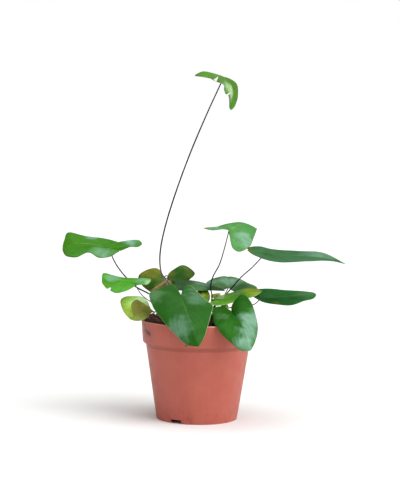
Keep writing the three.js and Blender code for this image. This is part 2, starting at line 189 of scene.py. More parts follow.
def finishMaterial(material, colour, roughness=None, height=None, depth=0):
    # depth is how many millimetres the bump's height of 1 stands for
    links = material.node_tree.links
    shader = material.node_tree.nodes["Principled BSDF"]
    links.new(colour, shader.inputs["Base Color"])
    if roughness is not None:
        links.new(roughness, shader.inputs["Roughness"])
    if height is not None:
        bump = addNode(material, "ShaderNodeBump", {"Distance": depth * mm, "Height": height})
        links.new(bump.outputs[0], shader.inputs["Normal"])
    return material


# Camera, floor and light

photoView = {
    "place": (0, -1480, 282),
    "down": 4.0,  # degrees
    "roll": 0.9,
    "pan": -0.03,
    "lens": 101.16,
    "farthest": 200,  # metres
}


def makeCamera():
    data = bpy.data.cameras.new("camera")
    data.lens = photoView["lens"]
    data.clip_end = photoView["farthest"]
    camera = bpy.data.objects.new("camera", data)
    scene.collection.objects.link(camera)
    pan, tilt, roll = [math.radians(photoView[k]) for k in ("pan", "down", "roll")]
    turn = Matrix.Rotation(pan, 4, "Z") @ Matrix.Rotation(math.pi / 2 - tilt, 4, "X")
    place = Matrix.Translation(Vector(photoView["place"]) * mm)
    camera.matrix_world = place @ turn @ Matrix.Rotation(roll, 4, "Z")
    scene.camera = camera


studio = {
    "floorReach": 60000,
    "floorColour": "fafafa",
    "fleckSize": 40,
    "fleck": (0.985, 1.0),
    "sky": 0.12,  # light from all around
    "key": 2.2,
    "keyAngle": 55,  # degrees across, so that shadows are soft
    "keyFrom": (0.78, -0.45, 0.55),
    "top": 2.3,
    "topAngle": 80,
    "topFrom": (0.1, -0.1, 0.98),
    "fill": 0.45,
    "fillAngle": 90,
    "fillFrom": (-0.5, -0.8, 0.3),
}


def makeStage():
    bm = bmesh.new()
    bmesh.ops.create_grid(bm, x_segments=1, y_segments=1, size=studio["floorReach"] * mm)
    mesh = bpy.data.meshes.new("floor")
    bm.to_mesh(mesh)
    bm.free()
    floor = bpy.data.objects.new("floor", mesh)
    scene.collection.objects.link(floor)
    material = startMaterial("palePaper", {"Roughness": 0.9, "Specular IOR Level": 0.1})
    fleck = grained(material, studio["fleckSize"], 2, objectPlace(material), studio["fleck"])
    finishMaterial(material, multiplied(material, paint(studio["floorColour"]), fleck))
    mesh.materials.append(material)


def makeLight():
    world = bpy.data.worlds.new("studio")
    scene.world = world
    world.use_nodes = True
    nodes, links = world.node_tree.nodes, world.node_tree.links
    around = nodes["Background"]
    around.inputs["Color"].default_value = (1, 1, 1, 1)
    around.inputs["Strength"].default_value = studio["sky"]
    seen = nodes.new("ShaderNodeBackground")
    seen.inputs["Color"].default_value = (1, 1, 1, 1)
    mix = nodes.new("ShaderNodeMixShader")
    links.new(nodes.new("ShaderNodeLightPath").outputs["Is Camera Ray"], mix.inputs[0])
    links.new(around.outputs[0], mix.inputs[1])
    links.new(seen.outputs[0], mix.inputs[2])
    links.new(mix.outputs[0], nodes["World Output"].inputs["Surface"])
    for kind in ("key", "top", "fill"):
        data = bpy.data.lights.new(kind, "SUN")
        data.energy = studio[kind]
        data.angle = math.radians(studio[kind + "Angle"])
        lamp = bpy.data.objects.new(kind, data)
        lamp.rotation_euler = Vector(studio[kind + "From"]).to_track_quat("Z", "Y").to_euler()
        scene.collection.objects.link(lamp)
    scene.view_settings.view_transform = "Standard"


makeCamera()
makeStage()
makeLight()
print("camera, floor and light are set")


# Pot

potSize = {
    "height": 104.5,
    "rimRadius": 60,
    "bandHeight": 23,
    "bandTaper": 1.6,
    "stepIn": 3.4,
    "stepHeight": 2.6,
    "footRadius": 42.8,
    "wall": 1.5,
    "lip": 0.7,
    "footHeight": 4.2,
    "base": 1.6,
    "corner": 0.9,  # rounding where the band meets the body
    "steps": 192,
    "notch": {"width": 12, "height": 4, "count": 3, "firstTurn": -30},
    "drain": {"radius": 4.5, "ring": 29, "count": 6},
    "baseRings": [(12, 0.5), (21, 0.5), (36.5, 0.6)],  # raised rings under the base: radius and height
}


def bodyRadius(z):
    top = potSize["height"] - potSize["bandHeight"] - potSize["stepHeight"]
    shoulder = potSize["rimRadius"] - potSize["bandTaper"] - potSize["stepIn"]
    return blend(potSize["footRadius"], shoulder, z / top)


def potProfile():
    # (radius, height, rounding) from the middle of the base, outside first
    p = potSize
    bandFoot = p["height"] - p["bandHeight"]
    bodyTop = bandFoot - p["stepHeight"]
    bandRadius = p["rimRadius"] - p["bandTaper"]
    under = p["footHeight"]
    floor = under + p["base"]
    profile = [(0, under, 0)]
    for radius, height in p["baseRings"]:
        profile += [(radius - 1, under, 0.2), (radius - 0.5, under - height, 0.2)]
        profile += [(radius + 0.5, under - height, 0.2), (radius + 1, under, 0.2)]
    return profile + [
        (bodyRadius(under) - p["wall"], under, 0.4),
        (p["footRadius"] - p["wall"], 0, 0.3),
        (p["footRadius"], 0, 0.3),
        (bodyRadius(bodyTop), bodyTop, p["corner"]),
        (bandRadius - 0.35, bandFoot - 0.1, 0.3),
        (bandRadius, bandFoot + 0.6, 0.3),
        (p["rimRadius"], p["height"] - p["lip"], 0.35),
        (p["rimRadius"] - p["lip"], p["height"], 0.35),
        (p["rimRadius"] - p["wall"], p["height"], 0.3),
        (p["rimRadius"] - p["wall"] - p["lip"], p["height"] - p["lip"], 0.3),
        (bandRadius - p["wall"], bandFoot + p["wall"], 0.6),
        (bodyRadius(bodyTop) - p["wall"], bodyTop, 0.6),
        (bodyRadius(floor) - p["wall"], floor, 0.8),
        (0, floor, 0),
    ]


def lathed(profile, steps):
    # a closed body from (radius, height, rounding), turned about the middle
    bm = bmesh.new()
    verts = [bm.verts.new((radius, 0, height)) for radius, height, rounding in profile]
    for a, b in zip(verts, verts[1:]):
        bm.edges.new((a, b))
    for vert, (radius, height, rounding) in zip(verts, profile):
        if rounding:
            bmesh.ops.bevel(bm, geom=[vert], offset=rounding, affect="VERTICES", segments=3,
                            profile=0.5, material=-1)
    geometry = bm.verts[:] + bm.edges[:]
    axis = {"axis": (0, 0, 1), "cent": (0, 0, 0), "angle": 2 * math.pi}
    bmesh.ops.spin(bm, geom=geometry, steps=steps, use_merge=True, **axis)
    bmesh.ops.remove_doubles(bm, verts=bm.verts, dist=1e-4)
    bmesh.ops.recalc_face_normals(bm, faces=bm.faces)
    return bm


def cutAway(piece, cutters):
    # the cutters are one bmesh in millimetres
    bmesh.ops.scale(cutters, vec=(mm, mm, mm), verts=cutters.verts)
    mesh = bpy.data.meshes.new("cutter")
    cutters.to_mesh(mesh)
    cutters.free()
    tool = bpy.data.objects.new("cutter", mesh)
    scene.collection.objects.link(tool)
    cut = piece.modifiers.new("cut", "BOOLEAN")
    cut.object = tool
    cut.solver = "MANIFOLD"
    bakeModifiers(piece)
    bpy.data.objects.remove(tool)


def bakeModifiers(piece):
    materials = piece.data.materials[:]
    graph = bpy.context.evaluated_depsgraph_get()
    mesh = bpy.data.meshes.new_from_object(piece.evaluated_get(graph), preserve_all_data_layers=True,
                                           depsgraph=graph)
    piece.modifiers.clear()
    piece.data = mesh
    while len(mesh.materials) > len(materials):
        mesh.materials.pop()


def smoothShade(piece, angle):
    # smooth faces with sharp edges past that angle
    bm = bmesh.new()
    bm.from_mesh(piece.data)
    for face in bm.faces:
        face.smooth = True
    for edge in bm.edges:
        edge.smooth = len(edge.link_faces) != 2 or edge.calc_face_angle(0) < math.radians(angle)
    bm.to_mesh(piece.data)
    bm.free()


potPaint = {
    "clay": "b45a4b",
    "worn": "c67c6a",
    # dirt on the pot, also the colour of the painted shade under the band and on the band's left
    "dirtAndShade": "4c281c",
    "gloss": 0.32,
    "roughness": (0.39, 0.56),
    "fading": {"size": 24, "amount": 0.16},
    "flow": {"size": 2.2, "upright": 0.06, "limits": (0.965, 1.02)},  # fine upright lines from the mould
    "dust": {"size": 5, "amount": 0.45, "footReach": 18, "rimFrom": 98, "rimAmount": 0.7},
    "lipHighlight": {"low": 103.5, "high": 104, "amount": 0.8, "colour": "e4aa9a"},  # painted highlight along the rim's top edge
    "crease": {"low": 77.6, "high": 81.6, "softLow": 1.2, "softHigh": 0.3, "amount": 0.3},  # painted shade in the crease under the band's step
    "bump": 0.06,
    "ragged": 1.6,  # how coarse the edge of a smudge or of the painted shade is
    "smudgesAndShade": [
        {"at": (-57.6, -16, 101.9), "reach": 4, "amount": 0.8},
        {"at": (-55.4, -22.3, 100.4), "reach": 4.4, "amount": 0.65},
        {"at": (-55, -22.6, 96.4), "reach": 5, "amount": 0.8},
        {"at": (-53, -26.6, 94), "reach": 5.2, "amount": 0.85},
        {"at": (-50.6, -30.9, 92.6), "reach": 5, "amount": 0.8},
        # painted shade on the band's left, under the leaves that hang over it
        {"at": (-52, -30, 90), "reach": 20, "amount": 0.16},
        {"at": (-12, -57.3, 84.2), "reach": 1.7, "amount": 0.85},
        {"at": (38, -44, 90), "reach": 4, "amount": 0.3},
    ],
}


def plasticClay():
    p = potPaint
    material = startMaterial("plasticClay", {"Specular IOR Level": p["gloss"]})
    place = objectPlace(material)
    up = addNode(material, "ShaderNodeSeparateXYZ", {0: place}).outputs["Z"]
    dirtAndShade = paint(p["dirtAndShade"])

    def rising(low, high, toLow, toHigh):
        # a change with height
        return spread(material, up, low * mm, high * mm, toLow, toHigh)

    fading, flow, dust, crease, lip = [p[k] for k in ("fading", "flow", "dust", "crease", "lipHighlight")]
    worn = spread(material, grain(material, fading["size"], 4, place), 0.35, 0.65, 0.0, fading["amount"])
    colour = mixColour(material, worn, paint(p["clay"]), paint(p["worn"]))
    lines = grain(material, flow["size"], 3, place, flow["upright"])
    colour = multiplied(material, colour, spread(material, lines, 0.3, 0.7, *flow["limits"]))
    dusty = spread(material, grain(material, dust["size"], 6, place), 0.52, 0.72, 0.0, dust["amount"])
    low = rising(0, dust["footReach"], 1, 0)
    high = rising(dust["rimFrom"], potSize["height"], 0, dust["rimAmount"])
    where = calc(material, "MULTIPLY", dusty, calc(material, "MAXIMUM", low, high))
    colour = mixColour(material, where, colour, dirtAndShade)
    # painted shade in the crease under the band, in the dirt colour
    above = rising(crease["low"] - crease["softLow"], crease["low"], 0, crease["amount"])
    below = rising(crease["high"], crease["high"] + crease["softHigh"], 1, 0)
    colour = mixColour(material, calc(material, "MULTIPLY", above, below), colour, dirtAndShade)
    # painted highlight on the rim's top edge
    paintedHighlight = rising(lip["low"], lip["high"], 0, lip["amount"])
    colour = mixColour(material, paintedHighlight, colour, paint(lip["colour"]))
    ragged = grain(material, p["ragged"], 4, place)
    # smudges of soil, and one broad spot of painted shade
    for darkSpot in p["smudgesAndShade"]:
        fields = {0: place, 1: Vector(darkSpot["at"]) * mm}
        away = addNode(material, "ShaderNodeVectorMath", fields, operation="DISTANCE").outputs["Value"]
        near = spread(material, away, darkSpot["reach"] * mm, 0.0, 0.0, 1.0)
        near = spread(material, calc(material, "ADD", near, ragged), 0.76, 1.2, 0.0, darkSpot["amount"])
        colour = mixColour(material, near, colour, dirtAndShade)
    rough = grained(material, 9, 5, place, p["roughness"])
    skin = calc(material, "ADD", grain(material, 0.7, 2, place), calc(material, "MULTIPLY", lines, 0.8))
    return finishMaterial(material, colour, rough, skin, p["bump"])


def makePot():
    p = potSize
    body = lathed(potProfile(), p["steps"])
    pot = finishPiece(body, "nursery_pot", "pot", "pot_plastic", [plasticClay()])
    cutters = bmesh.new()
    notch, drain = p["notch"], p["drain"]
    for i in range(notch["count"]):
        turn = Matrix.Rotation(math.radians(notch["firstTurn"] + i * 360 / notch["count"]), 4, "Z")
        place = Matrix.Translation((0, -(p["footRadius"] - p["wall"] / 2), 0))
        size = Matrix.Diagonal((notch["width"], 6 * p["wall"], 2 * notch["height"], 1))
        bmesh.ops.create_cube(cutters, size=1, matrix=turn @ place @ size)
    for i in range(drain["count"]):
        turn = 2 * math.pi * i / drain["count"]
        middle = Vector((math.cos(turn), math.sin(turn), 0)) * drain["ring"]
        middle.z = p["footHeight"] + p["base"] / 2
        bmesh.ops.create_cone(cutters, cap_ends=True, segments=48, radius1=drain["radius"],
                              radius2=drain["radius"], depth=4 * p["base"],
                              matrix=Matrix.Translation(middle))
    cutAway(pot, cutters)
    smoothShade(pot, 40)


makePot()
print("pot is made")


# Soil

soilSize = {
    "edge": 102,  # height where it meets the pot
    "mound": 3.8,
    "lumps": [(0.8, 0.31, 0.27), (0.6, 0.17, 0.23)],  # height and waves along x and y
    "heap": {"x": -38, "y": 10, "height": 4.5, "reach": 14},
    "steps": 300,
    "rings": 100,
    "fineHeight": 0.9,
    "chunks": [(-49, 12, 4), (-41, 23, 4.4), (-53, -1, 2.8)],
    "bark": {"count": 60, "from": 18, "sizes": (1.6, 3.6)},  # from is the distance from the middle
    "crumbs": {"count": 900, "from": 9, "sizes": (0.4, 1.5)},
    "fibres": {"count": 90, "from": 10, "lengths": (3, 9), "widths": (0.12, 0.35), "colour": "8a6a4c"},
    "clearOfEdge": 2.5,
    "dark": "4a322e",
    "red": "84584c",
    "light": "80604e",
}
gap = 0.3  # between the soil and the pot


def mound(x, y):
    s = soilSize
    out = min(1.0, math.hypot(x, y) / (potSize["rimRadius"] - potSize["wall"]))
    height = s["edge"] + s["mound"] * (1 - out ** 2)
    for lump, alongX, alongY in s["lumps"]:
        height += lump * (1 - out ** 4) * math.sin(alongX * x + 1) * math.cos(alongY * y)
    heap = s["heap"]
    away = math.hypot(x - heap["x"], y - heap["y"]) / heap["reach"]
    return height + heap["height"] * (1 - out ** 8) * math.exp(-away ** 2 / 2)


def soilColour(dice, lighter):
    s = soilSize
    colour = paint(s["dark"]).lerp(paint(s["red"]), dice.random() ** 1.5)
    return colour.lerp(paint(s["light"]), lighter * dice.random() ** 3)


def addLump(bm, tint, dice, place, size, detail, squash=0.7):
    turn = Euler([dice.uniform(0, 6.28) for _ in range(3)]).to_matrix().to_4x4()
    lump = bmesh.ops.create_icosphere(bm, subdivisions=detail, radius=size, matrix=turn)["verts"]
    seed = Vector((dice.uniform(-50, 50), dice.uniform(-50, 50), 0))
    for v in lump:
        wide = noise.noise(v.co / (1.1 * size) + seed)
        fine = noise.noise(v.co / (0.35 * size) + seed) if detail > 2 else dice.uniform(-0.5, 0.5)
        v.co *= 1 + 0.32 * wide + 0.16 * fine
        v.co.z *= squash
        v.co += place
    setTint(lump, tint, soilColour(dice, 0.8))


def addFibre(bm, tint, dice, place, length, thick):
    tilt = Euler((math.pi / 2 + dice.uniform(-0.25, 0.25), 0, dice.uniform(0, 6.28))).to_matrix().to_4x4()
    matrix = Matrix.Translation(place) @ tilt
    made = bmesh.ops.create_cone(bm, cap_ends=True, segments=5, radius1=thick, radius2=thick * 0.4,
                                 depth=length, matrix=matrix)["verts"]
    pale = paint(soilSize["fibres"]["colour"])
    setTint(made, tint, soilColour(dice, 1.0).lerp(pale, dice.random() * 0.7))


def addInBatches(bm, jobs, dice, size=30):
    # operators are slow on a large mesh, so the bits are made apart, a few at a time
    for start in range(0, len(jobs), size):
        batch = bmesh.new()
        tint = newTint(batch)
        for add, x, y, lift, *sizes in jobs[start:start + size]:
            add(batch, tint, dice, Vector((x, y, mound(x, y) + lift)), *sizes)
        mesh = bpy.data.meshes.new("batch")
        batch.to_mesh(mesh)
        batch.free()
        bm.from_mesh(mesh)
        bpy.data.meshes.remove(mesh)


def soilMaterial():
    material = startMaterial("dampPeat", {"Specular IOR Level": 0.3})
    place = objectPlace(material)
    fleck = grained(material, 1.4, 6, place, (0.5, 1.45))
    colour = multiplied(material, attribute(material, "tint"), fleck)
    rough = grained(material, 3, 3, place, (0.72, 0.98))
    return finishMaterial(material, colour, rough, grain(material, 0.6, 6, place), 0.5)


def makeSoil():
    s, dice = soilSize, random.Random(11)
    floor = potSize["footHeight"] + potSize["base"] + gap
    bandFoot = potSize["height"] - potSize["bandHeight"]
    bodyTop = bandFoot - potSize["stepHeight"]
    inside = potSize["wall"] + gap
    edge = potSize["rimRadius"] - potSize["bandTaper"] - inside
    profile = [(0, floor), (bodyRadius(floor) - inside, floor), (bodyRadius(bodyTop) - inside, bodyTop)]
    profile += [(edge, bandFoot + inside), (edge, s["edge"] - 0.6)]
    profile += [(edge * i / s["rings"], s["edge"] + 1) for i in range(s["rings"], -1, -1)]
    bm = lathed([(r, z, 0) for r, z in profile], s["steps"])
    tint = newTint(bm)
    dark, red = paint(s["dark"]), paint(s["red"])
    for v in bm.verts:
        v[tint] = (*dark, 1)
        if v.co.z > s["edge"]:
            x, y = v.co.x, v.co.y
            flat = Vector((x, y, 0))
            fine = noise.fractal(flat / 3.2, 0.8, 2.1, 4)
            held = 1 - smooth(math.hypot(x, y), edge - s["clearOfEdge"], edge)
            v.co.z = mound(x, y) + s["fineHeight"] * held * fine
            v[tint] = (*dark.lerp(red, smooth(fine, -0.2, 0.9) * mottle(flat, 6)), 1)
    jobs = [(addLump, x, y, 0.15 * size, size, 4) for x, y, size in s["chunks"]]

    def somewhere(nearest):
        out = blend(nearest, edge - s["clearOfEdge"], dice.random() ** 0.5)
        turn = dice.uniform(0, 2 * math.pi)
        return out * math.cos(turn), out * math.sin(turn)

    bark, crumbs, fibres = s["bark"], s["crumbs"], s["fibres"]
    for _ in range(bark["count"]):
        x, y = somewhere(bark["from"])
        size = blend(*bark["sizes"], dice.random() ** 2)
        inward = (edge - 1.6 * size) / edge
        jobs.append((addLump, x * inward, y * inward, 0.15 * size, size, 3))
    for _ in range(crumbs["count"]):
        x, y = somewhere(crumbs["from"])
        size = blend(*crumbs["sizes"], dice.random() ** 2.5)
        jobs.append((addLump, x, y, 0.3 * size, size, 1))
    for _ in range(fibres["count"]):
        x, y = somewhere(fibres["from"])
        sizes = dice.uniform(*fibres["lengths"]), dice.uniform(*fibres["widths"])
        jobs.append((addFibre, x * 0.93, y * 0.93, 0.5, *sizes))
    addInBatches(bm, jobs, dice)
    soil = finishPiece(bm, "peat_and_bark", "soil", "soil", [soilMaterial()])
    smoothShade(soil, 50)


makeSoil()
print("soil is made")


# Stalks and their scales

standing = {"depth": 10, "upright": 4, "crownRadius": 10.7, "crownRise": 4.5, "crownDepth": 6}


def standPoints(stands):
    x, y = stands
    top = soilSize["edge"] + soilSize["mound"]
    clear = standing["crownRise"] if math.hypot(x, y) < standing["crownRadius"] else 0
    rises = (-standing["depth"], -standing["depth"] / 2, clear, clear + standing["upright"])
    return [(x, y, top + rise) for rise in rises]


stalkForm = {
    "step": 1.4,
    "roundness": 4,
    "swell": 0.22,  # how much thicker the foot is
    "swellReach": 12,
    "taper": 0.82,
    "knobbly": 0.05,
    "colour": "171215",
    "footColour": "3a2a26",
    "footFade": (112, 150),  # heights between which the one turns into the other
    "scales": 16,
    "scaleReach": 24,
    "scaleColours": ("5a3a22", "8a6238"),
    "scaleLengths": (1.6, 3.2),
    "scaleWidths": (0.18, 0.34),
}


def sweep(path, step, radiusAt, thick, roundness, section=None):
    # a tube along the path as a bmesh in millimetres
    data = bpy.data.curves.new("sweep", "CURVE")
    data.dimensions = "3D"
    data.bevel_resolution = roundness
    data.use_fill_caps = True
    if section:
        data.bevel_mode = "OBJECT"
        data.bevel_object = section
    else:
        data.bevel_depth = thick
    count = max(4, math.ceil(path.length / step)) + 1
    spline = data.splines.new("POLY")
    spline.points.add(count - 1)
    for i, dot in enumerate(spline.points):
        share = i / (count - 1)
        dot.co = (*path.at(share), 1)
        dot.radius = radiusAt(share)
    holder = bpy.data.objects.new("sweep", data)
    scene.collection.objects.link(holder)
    graph = bpy.context.evaluated_depsgraph_get()
    mesh = bpy.data.meshes.new_from_object(holder.evaluated_get(graph))
    bm = bmesh.new()
    bm.from_mesh(mesh)
    bpy.data.objects.remove(holder)
    bmesh.ops.remove_doubles(bm, verts=bm.verts, dist=1e-3)
    bmesh.ops.recalc_face_normals(bm, faces=bm.faces)
    return bm


def addScale(bm, tint, colour, root, ahead, out, length, width):
    # one flat pointed scale that leaves the surface at a slant
    ahead = ahead.normalized()
    out = (out - ahead * out.dot(ahead)).normalized()
    side = ahead.cross(out)
    frameOf = Matrix((side, out, ahead)).transposed().to_4x4()
    flat = Matrix.Diagonal((1, 0.22, 1, 1))
    matrix = Matrix.Translation(root + ahead * length * 0.45) @ frameOf @ flat
    made = bmesh.ops.create_cone(bm, cap_ends=True, segments=6, radius1=width, radius2=0.04,
                                 depth=length, matrix=matrix)["verts"]
    setTint(made, tint, colour)


def stalkMaterial(name, warm, roughness):
    material = startMaterial(name, {"Specular IOR Level": 0.1})
    place = objectPlace(material)
    streak = grained(material, 1.2, 4, place, (0.75, 1.3), 0.12)
    colour = multiplied(material, attribute(material, "tint"), streak)
    warmth = spread(material, grain(material, 14, 2, place), 0.4, 0.7, 0.0, 0.35)
    colour = mixColour(material, warmth, colour, paint(warm))
    rough = grained(material, 2, 3, place, roughness)
    return finishMaterial(material, colour, rough, grain(material, 0.4, 2, place, 0.2), 0.05)


stalkShine = stalkMaterial("wiryStalk", "261e20", (0.3, 0.48))
youngShine = stalkMaterial("youngStalk", "6e4c30", (0.44, 0.62))


def growStalk(frond):
    f, dice = stalkForm, random.Random("stalk " + frond["name"])
    thick = frond["thick"]
    path = Path([*standPoints(frond["stands"]), *frond["bends"], frond["midrib"][0]])

    def radiusAt(share):
        along = share * path.length - standing["depth"]
        swell = f["swell"] * (1 - smooth(along, 2, f["swellReach"])) * smooth(along, -1, 1)
        slow = f["knobbly"] * noise.noise(Vector((share * path.length / 9, thick * 7, 0)))
        return (1 + swell + slow) * blend(1, f["taper"], smooth(share, 0.5, 1))

    bm = sweep(path, f["step"], radiusAt, thick, f["roundness"])
    tint = newTint(bm)
    dark, foot = paint(frond.get("stalk", f["colour"])), paint(frond.get("stalkFoot", f["footColour"]))
    low, high = frond.get("footFade", f["footFade"])
    dull, bright = [paint(c) for c in f["scaleColours"]]
    for v in bm.verts:
        v[tint] = (*foot.lerp(dark, smooth(v.co.z, low, high)), 1)
    for _ in range(f["scales"]):
        along = standing["depth"] + 1 + f["scaleReach"] * dice.random() ** 1.8
        share = along / path.length
        place, ahead = path.at(share), path.at(share + 0.01) - path.at(share)
        out = Vector((dice.uniform(-1, 1), dice.uniform(-1, 1), 0.1))
        out = (out - ahead.normalized() * out.dot(ahead.normalized())).normalized()
        colour = dull.lerp(bright, dice.random())
        lean = ahead.normalized() + out * dice.uniform(0.15, 0.6)
        sizes = dice.uniform(*f["scaleLengths"]), dice.uniform(*f["scaleWidths"])
        addScale(bm, tint, colour, place + out * thick, lean, out, *sizes)
    shine = youngShine if frond.get("young") else stalkShine
    stalk = finishPiece(bm, frond["name"] + "_stalk", "stipe_" + frond["name"], "stipe", [shine])
    smoothShade(stalk, 60)


# Blades

bladeForm = {
    "columns": 60,
    "rows": 104,
    "youngColumns": 24,
    "youngRows": 36,
    "youngDome": 0.5,
    "youngRelief": 0.4,
    "firstRow": 0.05,  # of the margin's length, beside the stalk
    "lastRow": 0.997,
    "closer": 1.25,
    "fan": 1.7,
    "dome": 2.0,
    "thickness": 0.7,
    "thinMargin": 0.4,
    "ribDepth": 0.34,
    "ribWidth": 0.035,
    "quilt": 0.1,
    "sideVeins": 12,
    "veinSlant": 0.3,
    "wave": 0.4,
    "waveLength": 14,
    "cloud": 19,  # size of the slow changes of colour
    "cloudAmount": 0.5,
    "ragged": 4.5,  # how coarse a patch's edge is
    "raggedFine": 1.6,
    "raggedAmounts": (0.32, 0.14, 0.28),  # of the coarse edge, the fine one and the streaks
    "warp": 5,  # bends the patches out of round
    "warpLength": 9,
    "fadeOut": -0.18,  # nearness at which a patch ends, and at which it is whole
    "soft": 0.72,
    "veinStreaks": 26,  # pale and dark streaks along the side veins
    "streakAmount": 0.3,
    "rib": {"colour": "86ad5c", "amount": 0.3},
}
# what a patch on a blade can be: pale, sheen and haze are painted highlights, deep is a darker green with
# painted shade, and the rest are the leaf's own colours
patchColours = {
    # painted highlight, yellow-green
    "pale": "b8d8a4",
    "paintedSheen": "80aa90",  # painted highlight: the full shine of the wax
    "paintedHaze": "4c7848",  # painted highlight: the thin edge of that shine
    # the leaf's darker green together with painted shade in hollows and where other blades shade it
    "deepGreenAndShade": "184c08",
    "fresh": "408008",
    "yellow": "b0c848",
    "olive": "727418",
    "brown": "50381c",
}


class Wing:
    # half of a blade, from its midrib to one margin
    def __init__(self, midrib, margin, side):
        sinus, tip = Vector(midrib[0]), Vector(midrib[-1])
        self.edge = Path([sinus, *margin, tip])
        ahead, out = tip - sinus, self.edge.at(0.5) - sinus
        self.up = (ahead.cross(out) if side < 0 else out.cross(ahead)).normalized()


def bladePlace(rib, wings, across, row, dome):
    f = bladeForm
    along = blend(f["firstRow"], f["lastRow"], row ** f["closer"])
    onRib = rib.at(((along - f["firstRow"]) / (1 - f["firstRow"])) ** f["fan"])
    wing, out = wings[0 if across < 0 else 1], abs(across)
    place = onRib.lerp(wing.edge.at(along), out)
    place += wing.up * dome * math.sin(math.pi * out) * math.sin(math.pi * along)
    wave = f["wave"] * out ** 3 * noise.noise(place / f["waveLength"])
    return place + wing.up * wave


def warped(place):
    # each direction has its own slow noise, which is the same in every run
    shifts = [noise.noise(place / bladeForm["warpLength"] + Vector((0, 0, step))) for step in (0, 17, 31)]
    return place + bladeForm["warp"] * Vector(shifts)


def bladeColour(frond, middles, place, across, row):
    # the blade's own colour, its second colour in slow clouds, then what is listed:
    # patches (across, row, reach, what it is, amount), a rim with an amount for each side, a rib
    f, out = bladeForm, abs(across)
    share = smooth(mottle(place, f["cloud"]), 0.35, 0.75) * f["cloudAmount"]
    colour = paint(frond["colour"]).lerp(paint(frond["second"]), share)
    coarse, fine = mottle(place, f["ragged"], 9) - 0.5, mottle(place, f["raggedFine"], 3) - 0.5
    veins = Vector((f["veinStreaks"] * (row - f["veinSlant"] * out), 2.4 * across, 0))
    streak = mottle(veins, 1, 5) - 0.5
    here = warped(place)
    edges = sum(amount * part for amount, part in zip(f["raggedAmounts"], (coarse, fine, streak)))
    # the patches lay painted highlights and painted shade as well as the leaf's own colours
    for middle, (_, _, reach, patch, amount) in zip(middles, frond.get("patches", [])):
        nearness = 1 - (here - middle).length / reach + edges
        colour = colour.lerp(paint(patchColours[patch]), smooth(nearness, f["fadeOut"], f["soft"]) * amount)
    colour *= 1 + f["streakAmount"] * streak
    rib = frond.get("rib", f["rib"])
    ribShare = (1 - smooth(row, 0.75, 1)) * math.exp(-(out / f["ribWidth"]) ** 2)
    colour = colour.lerp(paint(rib["colour"]), rib["amount"] * ribShare)
    rim = frond.get("rim")
    if rim:
        wide = rim["wide"] * (0.6 + 0.8 * mottle(place, 7))
        amount = rim["leftSide"] if across < 0 else rim["rightSide"]
        colour = colour.lerp(paint(rim["colour"]), smooth(out, 1 - wide, 1 - 0.3 * wide) * amount)
    return colour


def growBlade(frond):
    f = bladeForm
    small = frond.get("young")
    columns, rows = (f["youngColumns"], f["youngRows"]) if small else (f["columns"], f["rows"])
    dome, relief = (f["youngDome"], f["youngRelief"]) if small else (f["dome"], 1)
    rib = Path(frond["midrib"])
    wings = [Wing(frond["midrib"], frond["left"], -1), Wing(frond["midrib"], frond["right"], 1)]
    bm = bmesh.new()
    tint = newTint(bm)
    bmesh.ops.create_grid(bm, x_segments=columns, y_segments=rows, size=0.5)
    spots = frond.get("patches", [])
    middles = [warped(bladePlace(rib, wings, across, row, dome)) for across, row, *_ in spots]
    grid = []
    for v in bm.verts:
        side, row = 2 * v.co.x, min(1.0, max(0.0, v.co.y + 0.5))
        out = abs(side)
        out = blend(out ** 1.35, 1 - (1 - out) ** 1.35, out) if out < 1 else 1.0
        across = math.copysign(out, side)
        v.co = bladePlace(rib, wings, across, row, dome)
        v[tint] = (*bladeColour(frond, middles, v.co.copy(), across, row), 1)
        grid.append((v, across, row))
    for face in bm.faces:
        face.smooth = True
    bm.normal_update()
    for v, across, row in grid:
        out = abs(across)
        fade = math.sin(math.pi * min(1, 0.08 + 0.92 * row)) ** 0.5
        channel = -f["ribDepth"] * math.exp(-(out / f["ribWidth"]) ** 2) * (1 - 0.6 * row)
        ribbing = math.sin(2 * math.pi * (f["sideVeins"] * row - f["veinSlant"] * f["sideVeins"] * out))
        inner = math.exp(-(2.1 * out) ** 2) * min(1, 12 * out)
        quilt = f["quilt"] * frond.get("quilt", 1) * ribbing * fade * inner
        v.co += v.normal * (channel + quilt) * relief
    bm.normal_update()
    lift = {}
    for v, across, row in grid:
        out = max(abs(across), 1 - 1.2 * (1 - row))
        lift[v.index] = f["thickness"] * blend(1, f["thinMargin"], smooth(out, 0.93, 1))
    normals = [v.normal.copy() for v in bm.verts]
    thick = [lift[i] for i in range(len(bm.verts))]
    for face in bm.faces:
        face.material_index = 1
    made = bmesh.ops.extrude_face_region(bm, geom=bm.faces[:], use_keep_orig=True)["geom"]
    for face in made:
        if isinstance(face, bmesh.types.BMFace):
            face.material_index = 0
    raised = [g for g in made if isinstance(g, bmesh.types.BMVert)]
    for v, normal, height in zip(raised, normals, thick):
        v.co += normal * height
    bmesh.ops.recalc_face_normals(bm, faces=bm.faces)
    blade = finishPiece(bm, frond["name"] + "_blade", "blade_" + frond["name"], frond["slot"],
                        [leafTops[frond["slot"]], leafUnders[frond.get("under", "plain")]])
    if frond.get("tears"):
        cutters = bmesh.new()
        for tear in frond["tears"]:
            corners = [cutters.verts.new((x, -200, z)) for x, z in tear]
            face = cutters.faces.new(corners)
            made = bmesh.ops.extrude_face_region(cutters, geom=[face], use_keep_orig=True)["geom"]
            moved = [g for g in made if isinstance(g, bmesh.types.BMVert)]
            bmesh.ops.translate(cutters, vec=(0, 400, 0), verts=moved)
        bmesh.ops.recalc_face_normals(cutters, faces=cutters.faces)
        cutAway(blade, cutters)
    return blade


